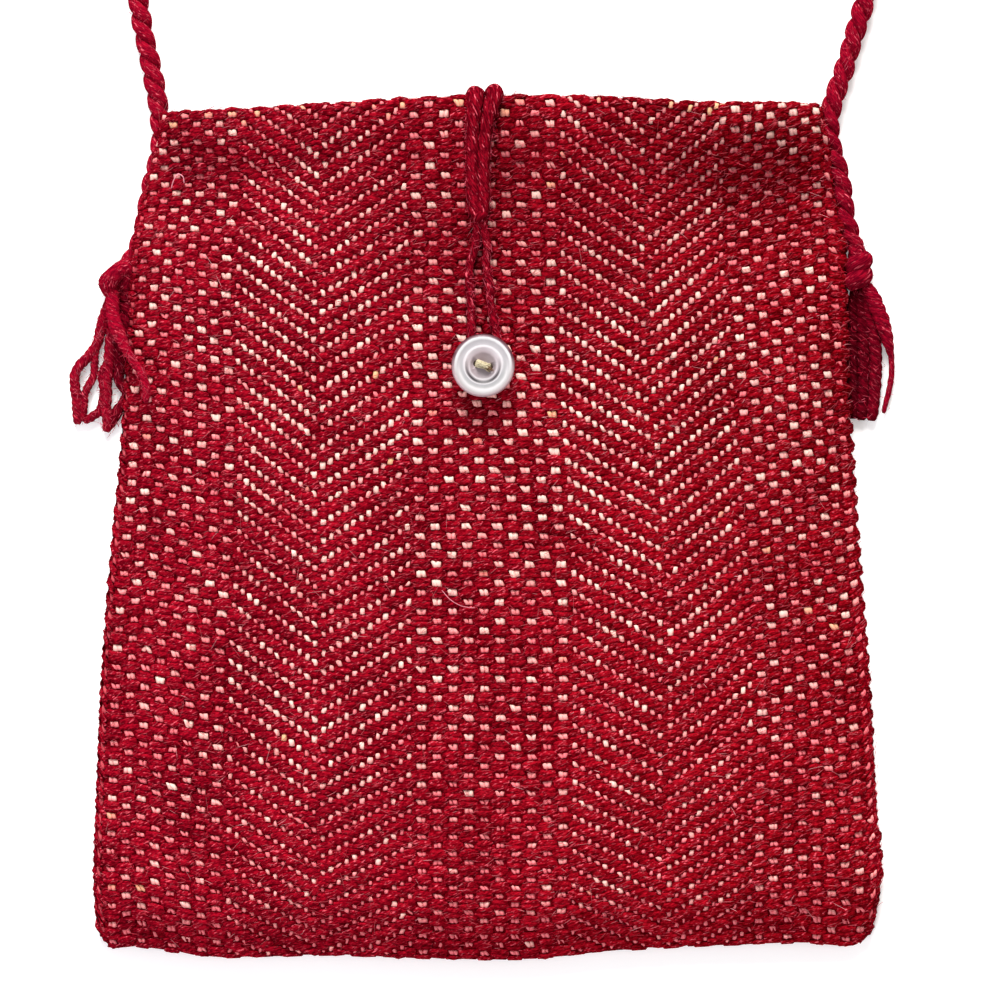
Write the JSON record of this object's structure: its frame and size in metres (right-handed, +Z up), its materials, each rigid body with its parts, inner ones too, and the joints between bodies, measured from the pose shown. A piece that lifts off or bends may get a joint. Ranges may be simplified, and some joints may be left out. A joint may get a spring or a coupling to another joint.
{
  "type": "woven shoulder bag",
  "caption": "Flat handwoven pouch bag lying on its back, with a twisted cord strap, end tassels, and a loop that closes over a button.",
  "frame": {"origin": "on the surface that the bag lies on, under the middle of the pouch", "axes": "+Z up out of the pouch's front, +Y towards its mouth, +X to the right as the front is seen from above"},
  "size_m": [0.2365, 0.3653, 0.0208],
  "materials": {
    "cloth": "thick handwoven cloth, cream warp and crimson wool weft, in basket and herringbone stripes",
    "strap": "soft two-ply twisted crimson wool cord",
    "loop": "soft two-ply twisted crimson wool yarn",
    "button": "milky clear moulded plastic",
    "thread": "cream cotton sewing thread"
  },
  "bodies": {
    "root": {"pouch": "cloth", "strap_left": "strap", "strap_coil": "strap", "strap_right": "strap", "tassel_left": "strap", "tassel_right": "strap", "closing_loop": "loop", "button": "button", "button_thread": "thread"}
  },
  "joints": []
}
